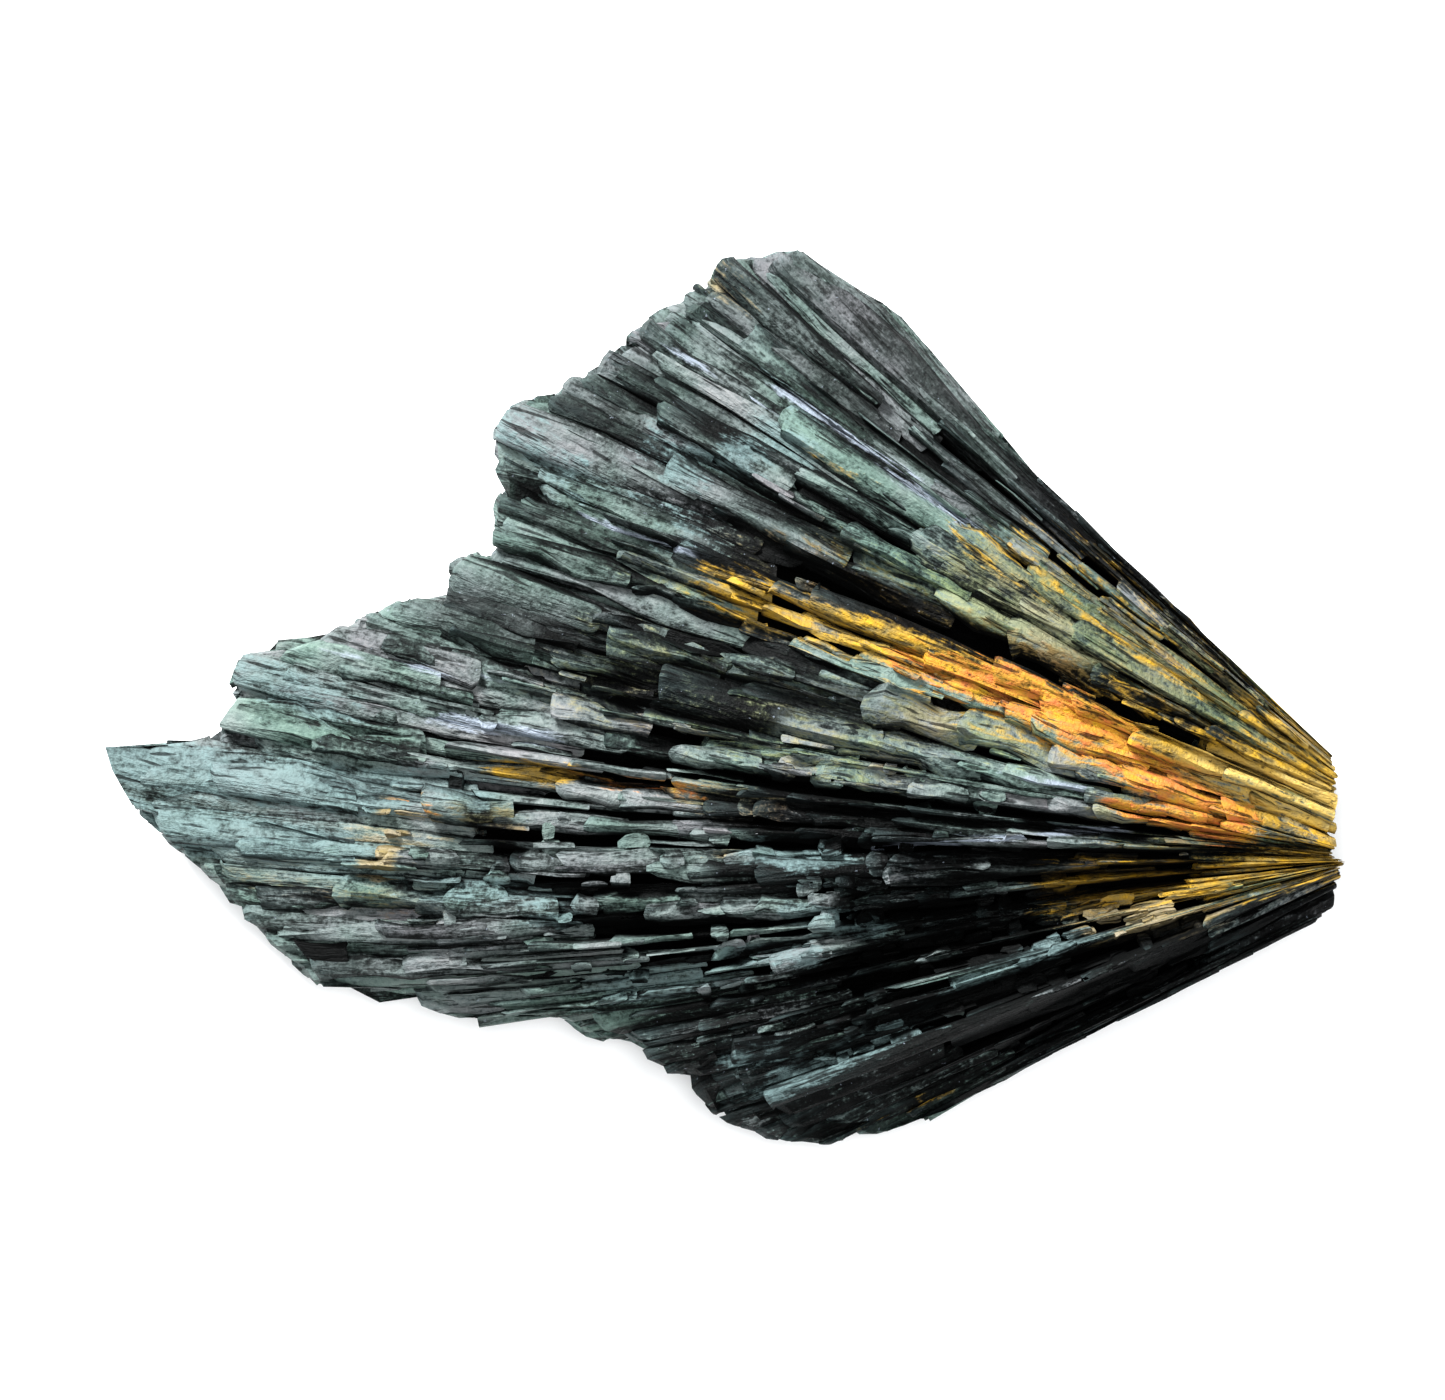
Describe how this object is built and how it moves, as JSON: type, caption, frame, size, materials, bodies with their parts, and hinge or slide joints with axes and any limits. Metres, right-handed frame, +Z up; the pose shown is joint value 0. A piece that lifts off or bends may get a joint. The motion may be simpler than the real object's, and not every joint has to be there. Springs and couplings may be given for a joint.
{
  "type": "black kyanite crystal fan",
  "caption": "Fan of dark, thin mineral blades spreading from one broken root to a stepped rim, with a yellow and orange iron stain; rests flat for display.",
  "frame": {"origin": "the centre of the fan's bounding box in plan, on the surface that it rests on", "axes": "the fan lies flat: +X from the pointed tip to the broken root, its longest way, +Y across the fan and +Z up through its thickness"},
  "size_m": [0.0762, 0.0556, 0.0127],
  "materials": {
    "kyanite": "satin"
  },
  "bodies": {
    "root": {"crystal_fan": "kyanite"}
  },
  "joints": []
}
